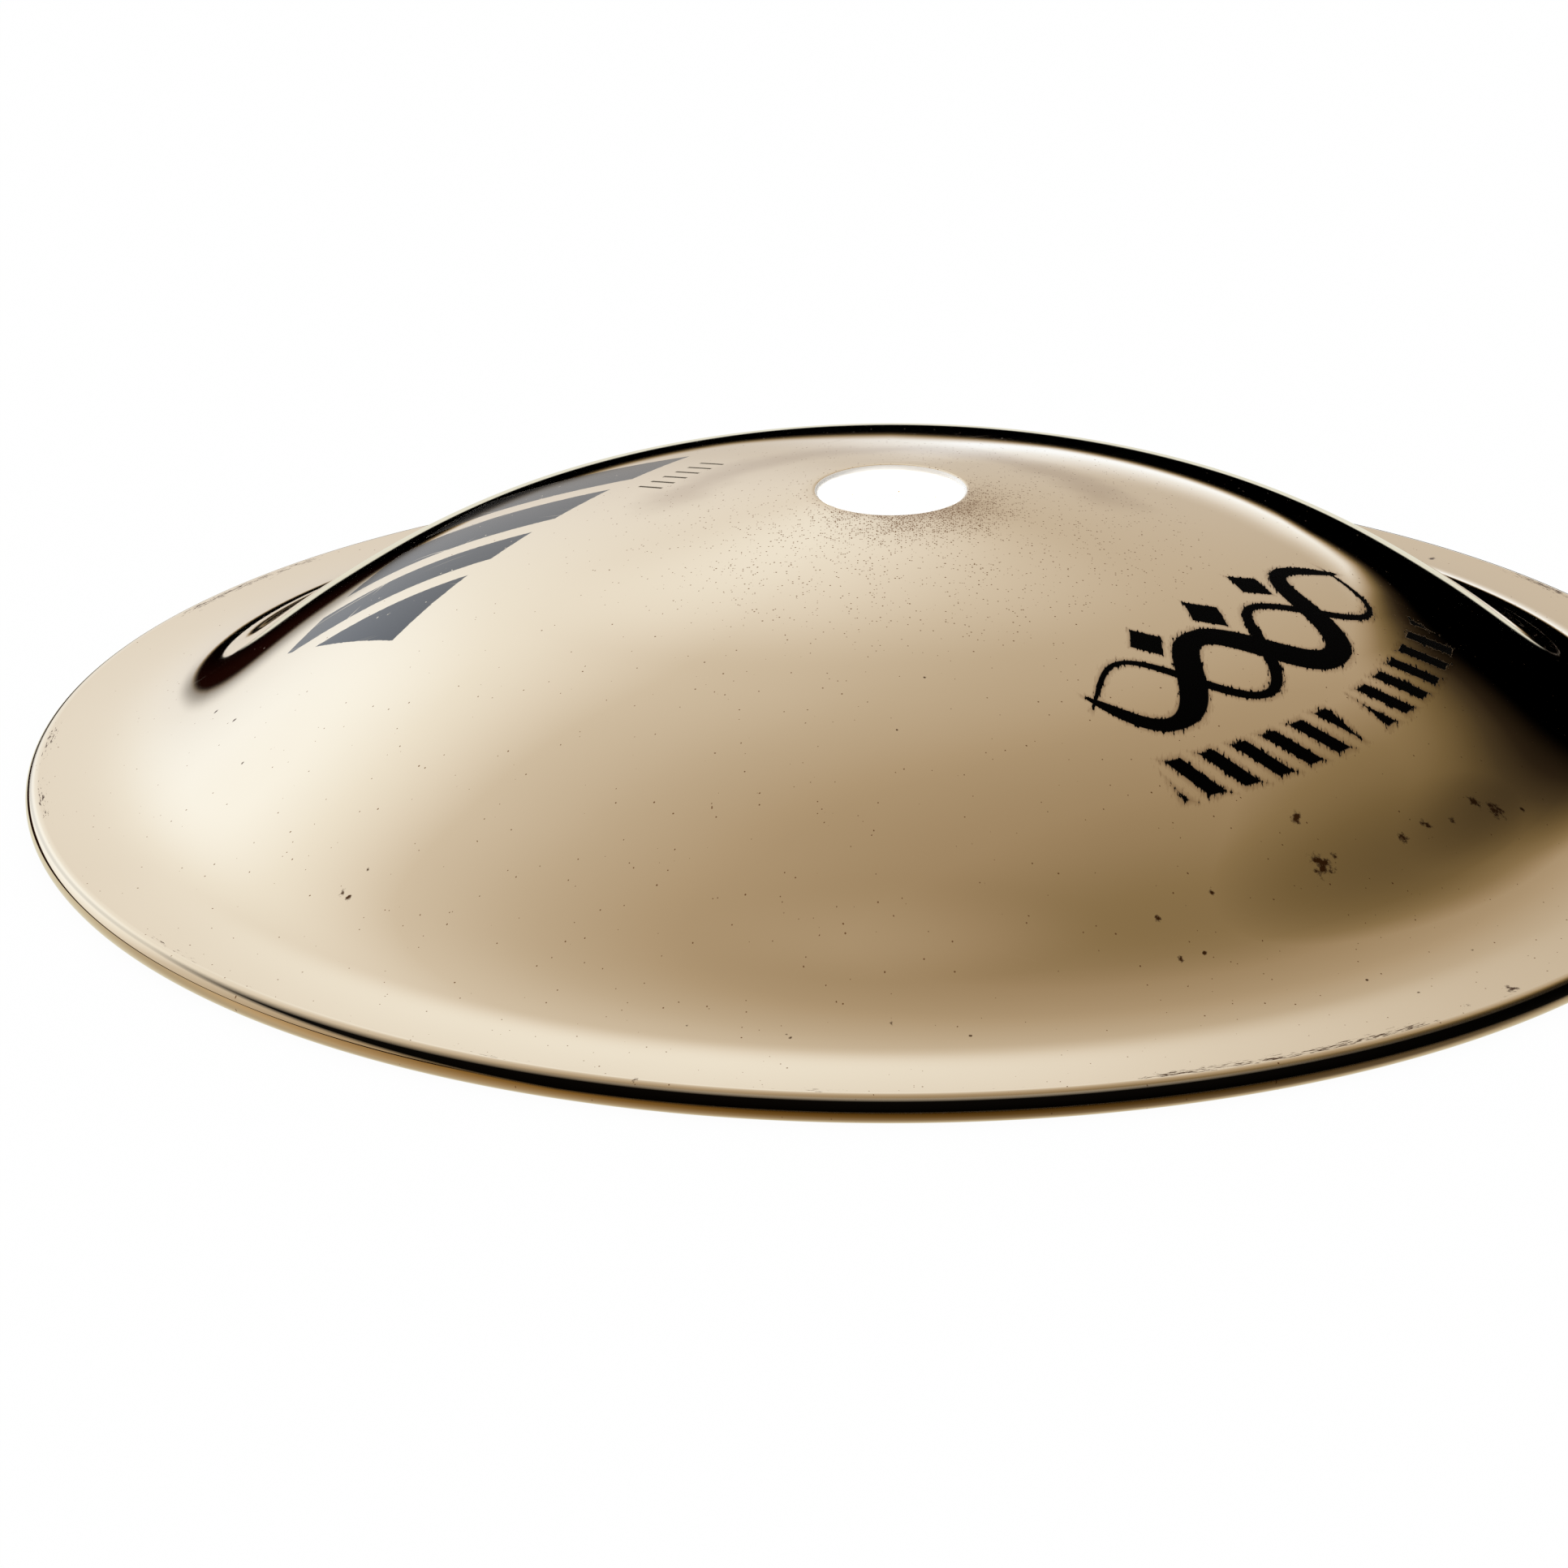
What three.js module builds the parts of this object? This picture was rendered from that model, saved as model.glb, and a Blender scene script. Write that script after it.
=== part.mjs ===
// Bell cymbal, six inches across: one thick cast disc, turned and polished, with a post hole at its crown.
// Millimetres, +Z up. It lies on the land under its rim, and its own axis is the Z axis.
import * as THREE from 'three';

// Whole disc
const RIM_RADIUS = 76.2;
const WALL = 2.7;

// Post hole
const HOLE_RADIUS = 6.35;
const LIP_ROUNDING = 0.5;

// How steeply the top surface falls at its named places, from the hole to the edge
const CROWN_TILT = THREE.MathUtils.degToRad(8.4);
const SHOULDER_TILT = THREE.MathUtils.degToRad(17.7);
const FLANK_TOP_TILT = THREE.MathUtils.degToRad(33.3);
const FLANK_FOOT_TILT = THREE.MathUtils.degToRad(35.3);
const BRIM_TILT = THREE.MathUtils.degToRad(7.5);
const EDGE_TILT = THREE.MathUtils.degToRad(3.6);

// How far apart those places are, from the edge inwards, with the crown taking the rest
const BRIM_WIDTH = 5.2;
const FLARE_WIDTH = 9.2;
const FLANK_WIDTH = 9.8;
const SHOULDER_WIDTH = 15.4;

// Rim: a rounded edge that meets the brim at a crisp arris, on a flat land
const ARRIS_TILT = THREE.MathUtils.degToRad(22);
const LAND_WIDTH = 1.4;

// Steps of the turned outline across each stretch, fine slices in a step, and flats round the disc
const CROWN_STEPS = 5;
const SHOULDER_STEPS = 6;
const FLANK_STEPS = 3;
const FLARE_STEPS = 8;
const BRIM_STEPS = 2;
const EDGE_STEPS = 8;
const LIP_STEPS = 3;
const SLICES_PER_STEP = 16;
const FLATS_ROUND = 88;

// The upward normal of a surface that falls outwards by a tilt
const normalOf = (tilt) => new THREE.Vector2(Math.sin(tilt), Math.cos(tilt));

// The place reached from a point by going a length along a direction
const from = (point, direction, length) => point.clone().addScaledVector(direction, length);

// Points of an arc, both ends included
function arc(centre, radius, startAngle, endAngle, steps) {
  const clockwise = endAngle < startAngle;
  const curve = new THREE.EllipseCurve(
    centre.x, centre.y, radius, radius, startAngle, endAngle, clockwise);
  return curve.getPoints(steps);
}

// The edge is as thick as the wall, less what the land takes off underneath
const EDGE_ROUNDING = (WALL - LAND_WIDTH * Math.sin(EDGE_TILT)) / (1 + Math.cos(ARRIS_TILT));
const edgeCentre = new THREE.Vector2(RIM_RADIUS - EDGE_ROUNDING, EDGE_ROUNDING);
const arris = from(edgeCentre, normalOf(ARRIS_TILT), EDGE_ROUNDING);

// Radii of the named places, and the stretches between them with the tilt at both ends
const brimStart = arris.x - BRIM_WIDTH;
const flankFoot = brimStart - FLARE_WIDTH;
const flankTop = flankFoot - FLANK_WIDTH;
const shoulder = flankTop - SHOULDER_WIDTH;
const crown = HOLE_RADIUS + LIP_ROUNDING + LIP_ROUNDING * Math.sin(CROWN_TILT);
const stretchFrom = (start, end, startTilt, endTilt, steps) => (
  { start, run: end - start, startTilt, endTilt, slope: (endTilt - startTilt) / (end - start), steps });
const stretches = [
  stretchFrom(crown, shoulder, CROWN_TILT, SHOULDER_TILT, CROWN_STEPS),
  stretchFrom(shoulder, flankTop, SHOULDER_TILT, FLANK_TOP_TILT, SHOULDER_STEPS),
  stretchFrom(flankTop, flankFoot, FLANK_TOP_TILT, FLANK_FOOT_TILT, FLANK_STEPS),
  stretchFrom(flankFoot, brimStart, FLANK_FOOT_TILT, BRIM_TILT, FLARE_STEPS),
  stretchFrom(brimStart, arris.x, BRIM_TILT, EDGE_TILT, BRIM_STEPS),
];

// How fast the tilt changes where two stretches meet, the shorter one counting more
function rateBetween(inner, outer) {
  if (!inner || !outer) return (inner ?? outer).slope;
  return (inner.slope * outer.run + outer.slope * inner.run) / (inner.run + outer.run);
}

// The tilt at a share of the way across a stretch, eased so that the next one carries on smoothly
function tiltAcross(index, share) {
  const { run, startTilt, endTilt } = stretches[index];
  const startRate = rateBetween(stretches[index - 1], stretches[index]);
  const endRate = rateBetween(stretches[index], stretches[index + 1]);
  const left = 1 - share;
  const leaving = startTilt * (1 + 2 * share) + startRate * run * share;
  const arriving = endTilt * (1 + 2 * left) - endRate * run * left;
  return leaving * left * left + arriving * share * share;
}

// Stations of the top surface from the arris inwards, each as high as the surface has climbed by then
function topStations() {
  const stations = [];
  let height = arris.y;
  for (let index = stretches.length - 1; index >= 0; index -= 1) {
    const { start, run, steps } = stretches[index];
    const slices = steps * SLICES_PER_STEP;
    for (let slice = slices - 1; slice >= 0; slice -= 1) {
      height += Math.tan(tiltAcross(index, (slice + 0.5) / slices)) * run / slices;
      if (slice % SLICES_PER_STEP === 0) {
        const share = slice / slices;
        const top = new THREE.Vector2(start + run * share, height);
        stations.push({ top, tilt: tiltAcross(index, share) });
      }
    }
  }
  return stations;
}

// The closed outline of the wall, anticlockwise, from the hole's lower lip
function wallOutline() {
  const stations = topStations();
  const crownTop = stations[stations.length - 1].top;
  const upperLip = from(crownTop, normalOf(CROWN_TILT), -LIP_ROUNDING);
  const lipDrop = (WALL - LIP_ROUNDING - LIP_ROUNDING) / Math.cos(CROWN_TILT);
  const lowerLip = new THREE.Vector2(upperLip.x, upperLip.y - lipDrop);
  const lowerArc = arc(lowerLip, LIP_ROUNDING, Math.PI, Math.PI * 1.5 - CROWN_TILT, LIP_STEPS);
  const upperArc = arc(upperLip, LIP_ROUNDING, Math.PI * 0.5 - CROWN_TILT, Math.PI, LIP_STEPS);
  const edgeArc = arc(edgeCentre, EDGE_ROUNDING, -Math.PI * 0.5, Math.PI * 0.5 - ARRIS_TILT, EDGE_STEPS);
  const lipEnd = lowerArc[lowerArc.length - 1];
  const land = new THREE.Vector2(edgeCentre.x - LAND_WIDTH, 0);
  const insideBrim = stations.filter((station) => station.top.x <= brimStart).reverse();
  const underside = insideBrim.map((station) => from(station.top, normalOf(station.tilt), -WALL));
  const clearOfLip = underside.filter((point) => point.x > lipEnd.x + LIP_ROUNDING);
  const topside = stations.map((station) => station.top);
  const outline = [...lowerArc, ...clearOfLip, land, ...edgeArc, ...topside, ...upperArc.slice(1)];
  outline.push(outline[0].clone());
  return outline;
}

// The outline turned once round the upright axis
function turnedDisc() {
  const geometry = new THREE.LatheGeometry(wallOutline(), FLATS_ROUND);
  geometry.rotateX(Math.PI * 0.5);
  return geometry;
}

// Polished cast bronze, pale champagne where it catches the light
const polishedBronze = new THREE.MeshStandardMaterial({
  color: new THREE.Color(0xdcc8a0),
  metalness: 1,
  roughness: 0.12,
});

const bellCymbal = new THREE.Mesh(turnedDisc(), polishedBronze);
bellCymbal.name = 'bell_cymbal';

const assembly = new THREE.Group();
assembly.add(bellCymbal);

export default assembly;
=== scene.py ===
"""A small, heavy bell cymbal of polished bronze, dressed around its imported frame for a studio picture."""

import logging
import math
from dataclasses import dataclass
from enum import Enum

import bpy
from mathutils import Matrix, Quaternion, Vector

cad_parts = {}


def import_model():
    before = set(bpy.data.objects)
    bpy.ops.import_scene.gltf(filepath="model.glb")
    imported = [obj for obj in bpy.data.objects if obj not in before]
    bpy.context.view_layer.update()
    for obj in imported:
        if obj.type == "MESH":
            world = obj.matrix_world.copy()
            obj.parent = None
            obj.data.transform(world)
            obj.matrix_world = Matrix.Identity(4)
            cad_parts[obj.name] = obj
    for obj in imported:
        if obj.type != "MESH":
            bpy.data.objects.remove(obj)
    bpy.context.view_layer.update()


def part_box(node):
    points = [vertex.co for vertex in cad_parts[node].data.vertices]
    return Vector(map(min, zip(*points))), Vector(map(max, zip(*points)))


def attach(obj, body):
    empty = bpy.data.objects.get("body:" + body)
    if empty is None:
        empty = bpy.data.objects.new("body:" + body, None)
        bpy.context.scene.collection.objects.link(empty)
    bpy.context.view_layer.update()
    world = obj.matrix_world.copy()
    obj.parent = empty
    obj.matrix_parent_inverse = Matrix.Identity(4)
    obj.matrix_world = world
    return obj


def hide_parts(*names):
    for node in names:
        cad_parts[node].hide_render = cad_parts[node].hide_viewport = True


MM = 0.001
FULL_TURN = 2.0 * math.pi
CAD_NODE = "bell_cymbal"
BODY = "root"
WHITE = (1.0, 1.0, 1.0, 1.0)
SCRATCHES = ((-14.0, 3000.0), (9.0, 2600.0), (31.0, 3400.0), (-52.0, 2900.0))
Colour = tuple[float, float, float, float]
Stops = tuple[tuple[float, tuple[float, float, float]], ...]
Socket = bpy.types.NodeSocket
Tree = bpy.types.NodeTree
Material = bpy.types.Material
log = logging.getLogger("bell_cymbal")


class Zone(Enum):
    """The parts of the cymbal's surface that are finished differently."""

    POLISHED = 0
    TURNED = 1
    DRILLED = 2


class Sheet:
    """A node tree being filled in, with one short method for each kind of node."""

    def __init__(self, tree: Tree) -> None:
        """Keeps the tree and empties it.

        Args:
            tree: The tree of a material, a world or a node group.
        """
        self.tree = tree
        tree.nodes.clear()

    def put(self, kind: str, **settings: object) -> bpy.types.Node:
        """Adds a node.

        Args:
            kind: The node's type name after "ShaderNode".
            settings: The node's own properties.

        Returns:
            The new node.
        """
        node = self.tree.nodes.new("ShaderNode" + kind)
        for name, value in settings.items():
            setattr(node, name, value)
        return node

    def feed(self, socket: Socket, value: object) -> None:
        """Gives an input a number or a vector, or links it.

        Args:
            socket: The input.
            value: A socket to link from, or the input's own value.
        """
        if isinstance(value, bpy.types.NodeSocket):
            self.tree.links.new(value, socket)
        else:
            socket.default_value = value

    def math(self, how: str, *terms: object, clamp: bool = False) -> Socket:
        """Adds one step of arithmetic.

        Args:
            how: The operation.
            terms: Its inputs.
            clamp: Whether the result is held between 0 and 1.

        Returns:
            The result.
        """
        node = self.put("Math", operation=how, use_clamp=clamp)
        for socket, term in zip(node.inputs, terms):
            self.feed(socket, term)
        return node.outputs[0]

    def chain(self, how: str, *terms: object) -> Socket:
        """Joins any number of terms with one operation.

        Args:
            how: The operation.
            terms: The terms, the first one first.

        Returns:
            The result.
        """
        found = terms[0]
        for term in terms[1:]:
            found = self.math(how, found, term)
        return found

    def total(self, *terms: object) -> Socket:
        """Returns the sum of the terms."""
        return self.chain("ADD", *terms)

    def times(self, *terms: object) -> Socket:
        """Returns the product of the terms."""
        return self.chain("MULTIPLY", *terms)

    def most(self, *terms: object) -> Socket:
        """Returns the greatest of the terms."""
        return self.chain("MAXIMUM", *terms)

    def least(self, *terms: object) -> Socket:
        """Returns the smallest of the terms."""
        return self.chain("MINIMUM", *terms)

    def less(self, value: object, taken: object) -> Socket:
        """Returns a number with another one taken from it."""
        return self.math("SUBTRACT", value, taken)

    def size(self, value: object) -> Socket:
        """Returns a number without its sign."""
        return self.math("ABSOLUTE", value)

    def vector(self, how: str, *terms: object) -> Socket:
        """Adds one step of vector arithmetic.

        Args:
            how: The operation.
            terms: Its inputs.

        Returns:
            The result, a number for lengths, distances and dot products.
        """
        node = self.put("VectorMath", operation=how)
        for socket, term in zip(node.inputs, terms):
            self.feed(socket, term)
        plain = how in ("LENGTH", "DISTANCE", "DOT_PRODUCT")
        return node.outputs["Value" if plain else "Vector"]

    def dot(self, first: Socket, second: object) -> Socket:
        """Returns the dot product of two vectors."""
        return self.vector("DOT_PRODUCT", first, second)

    def scaled(self, vector: Socket, by: object) -> Socket:
        """Multiplies a vector by a number and returns it."""
        node = self.put("VectorMath", operation="SCALE")
        self.feed(node.inputs[0], vector)
        self.feed(node.inputs["Scale"], by)
        return node.outputs["Vector"]

    def split(self, vector: Socket) -> tuple[Socket, Socket, Socket]:
        """Takes a vector apart and returns its three numbers."""
        node = self.put("SeparateXYZ")
        self.feed(node.inputs[0], vector)
        return node.outputs[0], node.outputs[1], node.outputs[2]

    def joined(self, x: object, y: object, z: object) -> Socket:
        """Puts three numbers together and returns the vector."""
        node = self.put("CombineXYZ")
        for socket, value in zip(node.inputs, (x, y, z)):
            self.feed(socket, value)
        return node.outputs[0]

    def spread(
        self, value: object, low: object, high: object,
        to_low: object = 0.0, to_high: object = 1.0, how: str = "LINEAR",
    ) -> Socket:
        """Maps one span of numbers to another, held at its ends.

        Args:
            value: The number to map.
            low: The start of its span.
            high: The end of its span.
            to_low: What the start becomes.
            to_high: What the end becomes.
            how: How it runs from one end to the other.

        Returns:
            The mapped number.
        """
        node = self.put("MapRange", clamp=True, interpolation_type=how)
        for socket, term in zip(node.inputs, (value, low, high, to_low, to_high)):
            self.feed(socket, term)
        return node.outputs[0]

    def ease(self, value: object, *span: object) -> Socket:
        """Maps a span of numbers as spread does, with eased ends."""
        return self.spread(value, *span, how="SMOOTHSTEP")

    def ramp(self, value: Socket, stops: Stops) -> Socket:
        """Maps a number to a colour along a row of stops.

        Args:
            value: The number, between 0 and 1.
            stops: Each stop's place and linear colour.

        Returns:
            The colour.
        """
        node = self.put("ValToRGB")
        row = node.color_ramp.elements
        while len(row) < len(stops):
            row.new(1.0)
        for mark, (place, colour) in zip(row, stops):
            mark.position = place
            mark.color = (*colour, 1.0)
        self.feed(node.inputs[0], value)
        return node.outputs[0]

    def noise(self, vector: Socket, scale: float, detail: float = 2.0, rough: float = 0.5) -> Socket:
        """Adds cloudy noise.

        Args:
            vector: Where it is read.
            scale: How many waves fit in one unit.
            detail: How many finer layers it has.
            rough: How strong the finer layers are.

        Returns:
            The noise, around one half.
        """
        node = self.put("TexNoise")
        for name, value in (("Vector", vector), ("Scale", scale), ("Detail", detail), ("Roughness", rough)):
            self.feed(node.inputs[name], value)
        return node.outputs[0]

    def mix(self, share: object, first: object, second: object, how: str = "MIX") -> Socket:
        """Mixes two colours.

        Args:
            share: How much of the second one is taken.
            first: The first colour.
            second: The second colour.
            how: The way they are mixed.

        Returns:
            The mixed colour.
        """
        node = self.put("Mix", data_type="RGBA", blend_type=how)
        self.feed(node.inputs[0], share)
        self.feed(node.inputs[6], first)
        self.feed(node.inputs[7], second)
        return node.outputs[2]

    def bump(self, height: Socket, distance: float) -> Socket:
        """Adds relief.

        Args:
            height: The relief's height.
            distance: What a height of 1 stands for, in metres.

        Returns:
            The bumped normal.
        """
        node = self.put("Bump")
        for name, value in (("Strength", 1.0), ("Distance", distance), ("Height", height)):
            self.feed(node.inputs[name], value)
        return node.outputs[0]

    def group(self, tree: Tree, **inputs: object) -> bpy.types.Node:
        """Places a node group.

        Args:
            tree: The group.
            inputs: The group's inputs by name.

        Returns:
            The group's node.
        """
        node = self.put("Group", node_tree=tree)
        for name, value in inputs.items():
            self.feed(node.inputs[name], value)
        return node


class Finish(Sheet):
    """The node tree of a new material."""

    def __init__(self, name: str) -> None:
        """Makes the material.

        Args:
            name: The material's name.
        """
        self.material = bpy.data.materials.new(name)
        self.material.use_nodes = True
        super().__init__(self.material.node_tree)

    def done(self, shader: Socket) -> Material:
        """Sends the shader to the material's output and returns the material."""
        self.feed(self.put("OutputMaterial").inputs["Surface"], shader)
        return self.material


class Effect:
    """A shader node group with named inputs and outputs, which several finishes use."""

    KINDS = {"vector": "NodeSocketVector", "float": "NodeSocketFloat"}

    def __init__(self, name: str, inputs: dict[str, str], outputs: dict[str, str]) -> None:
        """Makes the empty group.

        Args:
            name: The group's name.
            inputs: Each input's name and kind.
            outputs: Each output's name and kind.
        """
        self.tree = bpy.data.node_groups.new(name, "ShaderNodeTree")
        self.sheet = Sheet(self.tree)
        for label, kind in inputs.items():
            self.tree.interface.new_socket(label, in_out="INPUT", socket_type=self.KINDS[kind])
        for label, kind in outputs.items():
            self.tree.interface.new_socket(label, in_out="OUTPUT", socket_type=self.KINDS[kind])
        self.start = self.tree.nodes.new("NodeGroupInput")
        self.end = self.tree.nodes.new("NodeGroupOutput")

    def given(self, name: str) -> Socket:
        """Returns one of the group's inputs."""
        return self.start.outputs[name]

    def give(self, name: str, value: Socket) -> None:
        """Links one of the group's outputs."""
        self.sheet.feed(self.end.inputs[name], value)


def polar_effect() -> Tree:
    """Builds the group that turns a place into one that runs round the axis.

    Returns:
        The group. Its Streak output is read by noise that is drawn out round the axis.
    """
    inputs = {"Place": "vector", "Around": "float", "Outward": "float"}
    effect = Effect("round_the_axis", inputs, {"Streak": "vector"})
    s = effect.sheet
    x, y, _ = s.split(effect.given("Place"))
    flat = s.joined(x, y, 0.0)
    turn = s.scaled(s.vector("NORMALIZE", flat), effect.given("Around"))
    x, y, _ = s.split(turn)
    effect.give("Streak", s.joined(x, y, s.times(s.vector("LENGTH", flat), effect.given("Outward"))))
    return effect.tree


def lathe_effect(polar: Tree) -> Tree:
    """Builds the group of fine rings that a lathe tool leaves.

    Args:
        polar: The group that runs round the axis.

    Returns:
        The group. Its Height output is the rings' relief between 0 and 1.
    """
    effect = Effect("lathe_rings", {"Place": "vector", "Rings": "float"}, {"Height": "float"})
    s = effect.sheet
    streak = s.group(polar, Place=effect.given("Place"), Around=1.3, Outward=effect.given("Rings"))
    effect.give("Height", s.noise(streak.outputs["Streak"], 1.0, 3.0, 0.65))
    return effect.tree


def hairline_effect() -> Tree:
    """Builds the group of fine cleaning scratches that run in several directions.

    Returns:
        The group. Its Lines output is 1 on a scratch and 0 elsewhere.
    """
    effect = Effect("hairlines", {"Place": "vector", "Amount": "float"}, {"Lines": "float"})
    s = effect.sheet
    warp = s.noise(effect.given("Place"), 60.0, 1.0)
    bent = s.vector("ADD", effect.given("Place"), s.scaled(s.joined(warp, warp, 0.0), 6.0 * MM))
    clear = s.less(0.83, s.times(effect.given("Amount"), 0.1))
    marks = []
    for angle, fineness in SCRATCHES:
        turned = s.put("VectorRotate", rotation_type="Z_AXIS")
        s.feed(turned.inputs["Vector"], bent)
        s.feed(turned.inputs["Angle"], math.radians(angle))
        drawn = s.vector("MULTIPLY", turned.outputs[0], (85.0, fineness, 85.0))
        marks.append(s.spread(s.noise(drawn, 1.0, 0.0), clear, s.total(clear, 0.07)))
    effect.give("Lines", s.most(*marks))
    return effect.tree


@dataclass(frozen=True)
class Effects:
    """The node groups that the finishes share."""

    polar: Tree
    lathe: Tree
    hair: Tree


@dataclass(frozen=True)
class SoftboxStudio:
    """A white sweep and one very large soft box, seen by the bronze as a mirror sees it."""

    box_azimuth: float = -38.0
    box_elevation: float = 14.7
    spot_azimuth: float = -2.0
    spot_elevation: float = 35.9
    spot_width: float = 14.7
    spot_gain: float = 0.136
    strip_gain: float = 0.28
    strip_height: float = 0.118
    strip_left: tuple[float, float] = (-0.06, 0.05)
    strip_right: tuple[float, float] = (0.34, 0.26)
    near_azimuth: float = 152.0
    near_elevation: float = 38.0
    near_gain: float = 0.34
    near_dip: float = 0.06
    near_side: tuple[float, float] = (-0.02, -0.35)
    near_foot: tuple[float, float] = (-0.1, 0.25)
    right_start: float = 0.475
    right_end: float = 0.80
    right_share: float = 0.31
    dark_left: tuple[float, float] = (-0.18, -0.28)
    dull_left: tuple[float, float] = (-0.42, -0.30)
    edge_raise: float = 0.2
    left_sweep: float = 1.5
    right_sweep: float = 0.35
    skyline: float = -0.172
    far_skyline: float = -0.198
    middle_dip: float = -0.045
    dull_height: float = 0.09
    horizon_blur: float = 0.012
    dull: Colour = (0.31, 0.30, 0.295, 1.0)
    ember: Colour = (0.010, 0.0020, 0.0010, 1.0)
    fill: float = 1.05

    def brightness(self) -> Stops:
        """Returns how bright the soft box is away from its middle."""
        row = ((0.0, 0.43), (0.2, 0.52), (0.4, 0.57), (0.6, 0.65), (0.8, 0.75), (0.92, 0.88), (1.0, 0.96))
        return tuple((place, (value, value, value)) for place, value in row)

    def edge_height(self) -> Stops:
        """Returns how high the box's lower edge is from left to right, as places and raised heights."""
        row = (
            (-1.0, -0.16), (-0.8, -0.13), (-0.6, -0.045), (-0.3, -0.036), (-0.17, -0.013), (-0.11, -0.03),
            (-0.05, -0.08), (0.0, -0.082), (0.055, -0.043), (0.105, 0.014), (0.2, 0.114), (0.26, 0.15),
            (0.31, 0.21), (0.36, 0.29), (0.42, 0.35), (0.48, 0.357), (0.53, 0.366), (0.6, 0.39),
            (0.64, 0.46), (0.8, 0.55),
        )
        return self.gauge(row, self.edge_raise, 1.0)

    def edge_blur(self) -> Stops:
        """Returns how soft the box's lower edge is from left to right, halved."""
        row = (
            (-0.05, 0.05), (0.0, 0.055), (0.055, 0.042), (0.2, 0.045), (0.26, 0.09), (0.31, 0.15),
            (0.36, 0.23), (0.42, 0.31), (0.48, 0.36), (0.53, 0.4), (0.6, 0.39), (0.64, 0.46), (0.8, 0.9),
        )
        return self.gauge(row, 0.0, 0.5)

    @staticmethod
    def gauge(row: tuple[tuple[float, float], ...], raised: float, share: float) -> Stops:
        """Turns places from -1 to 1 and their values into the stops of a grey ramp.

        Args:
            row: The places and values.
            raised: What is added to each value.
            share: What each sum is multiplied by.

        Returns:
            The stops.
        """
        return tuple((0.5 + 0.5 * at, ((value + raised) * share,) * 3) for at, value in row)

    def tint(self) -> Stops:
        """Returns the linear colour of each brightness, halved."""
        return (
            (0.0, (0.0, 0.0, 0.0)),
            (0.12, (0.012, 0.008, 0.0045)),
            (0.21, (0.031, 0.022, 0.0115)),
            (0.28, (0.056, 0.040, 0.019)),
            (0.36, (0.092, 0.067, 0.033)),
            (0.44, (0.133, 0.100, 0.056)),
            (0.51, (0.182, 0.142, 0.096)),
            (0.59, (0.231, 0.191, 0.146)),
            (0.67, (0.28, 0.248, 0.212)),
            (0.75, (0.339, 0.318, 0.297)),
            (0.82, (0.40, 0.394, 0.395)),
            (0.89, (0.455, 0.469, 0.492)),
            (0.95, (0.51, 0.55, 0.615)),
        )

    def sweep(self) -> Stops:
        """Returns the linear colour of the sweep below the horizon, from the near side to the far side."""
        return (
            (0.0, (0.02, 0.009, 0.001)),
            (0.035, (0.087, 0.044, 0.005)),
            (0.115, (0.121, 0.061, 0.012)),
            (0.245, (0.183, 0.105, 0.031)),
            (0.47, (0.324, 0.236, 0.139)),
            (0.72, (0.50, 0.44, 0.34)),
            (0.95, (0.78, 0.77, 0.66)),
        )

    def build(self) -> bpy.types.World:
        """Makes the studio as the scene's world.

        Returns:
            The world.
        """
        world = bpy.data.worlds.new("soft_box_studio")
        bpy.context.scene.world = world
        world.use_nodes = True
        world.cycles.sampling_method = "NONE"
        s = Sheet(world.node_tree)
        way = s.vector("NORMALIZE", s.put("TexCoord").outputs["Generated"])
        path = s.put("LightPath")
        plain = (self.fill, self.fill, self.fill, 1.0)
        shown = s.mix(path.outputs["Is Glossy Ray"], plain, self.mirrored(s, way))
        shown = s.mix(path.outputs["Is Camera Ray"], shown, WHITE)
        back = s.put("Background")
        s.feed(back.inputs["Color"], shown)
        s.feed(s.put("OutputWorld").inputs["Surface"], back.outputs[0])
        return world

    @staticmethod
    def heading(azimuth: float, elevation: float) -> tuple[float, float, float]:
        """Returns the direction at an azimuth, to the right of straight ahead, and an elevation."""
        turn, rise = math.radians(azimuth), math.radians(elevation)
        return math.sin(turn) * math.cos(rise), math.cos(turn) * math.cos(rise), math.sin(rise)

    def mirrored(self, s: Sheet, way: Socket) -> Socket:
        """Draws what a mirror would see of the studio.

        Args:
            s: The world's sheet.
            way: The direction looked in.

        Returns:
            The colour in that direction.
        """
        x, y, z = s.split(way)
        across = s.spread(x, -1.0, 1.0)
        over = s.less(z, s.less(s.ramp(across, self.edge_height()), self.edge_raise))
        blur = s.ramp(across, self.edge_blur())
        lit = s.ease(over, s.times(blur, -1.0), blur)
        behind = s.ease(y, *self.near_side)
        lit = s.most(lit, s.times(behind, s.ease(z, *self.near_foot)))
        bright = s.times(self.lamps(s, way, x, over, behind), lit)
        box = s.mix(1.0, s.ramp(bright, self.tint()), (2.0, 2.0, 2.0, 1.0), "MULTIPLY")
        left = s.ease(x, *self.dark_left)
        dull = s.times(left, s.ease(x, *self.dull_left))
        dull = s.times(dull, s.ease(over, self.dull_height, 0.0), s.spread(y, 0.0, 0.2))
        box = s.mix(s.times(dull, lit), box, self.dull)
        box = s.mix(s.times(left, s.less(1.0, lit)), box, self.ember)
        below = s.ramp(s.spread(y, -1.0, 1.0), self.sweep())
        side = s.spread(x, -1.0, 0.6, self.left_sweep, self.right_sweep)
        side = s.mix(s.ease(y, 0.0, 0.4), side, WHITE)
        below = s.mix(1.0, below, side, "MULTIPLY")
        aside = s.size(x)
        horizon = s.total(
            s.ease(aside, 0.1, 0.35, self.skyline, self.far_skyline),
            s.ease(aside, 0.0, 0.08, self.middle_dip, 0.0),
        )
        horizon = s.less(horizon, s.spread(y, 0.0, -0.5, 0.0, self.near_dip))
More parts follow.
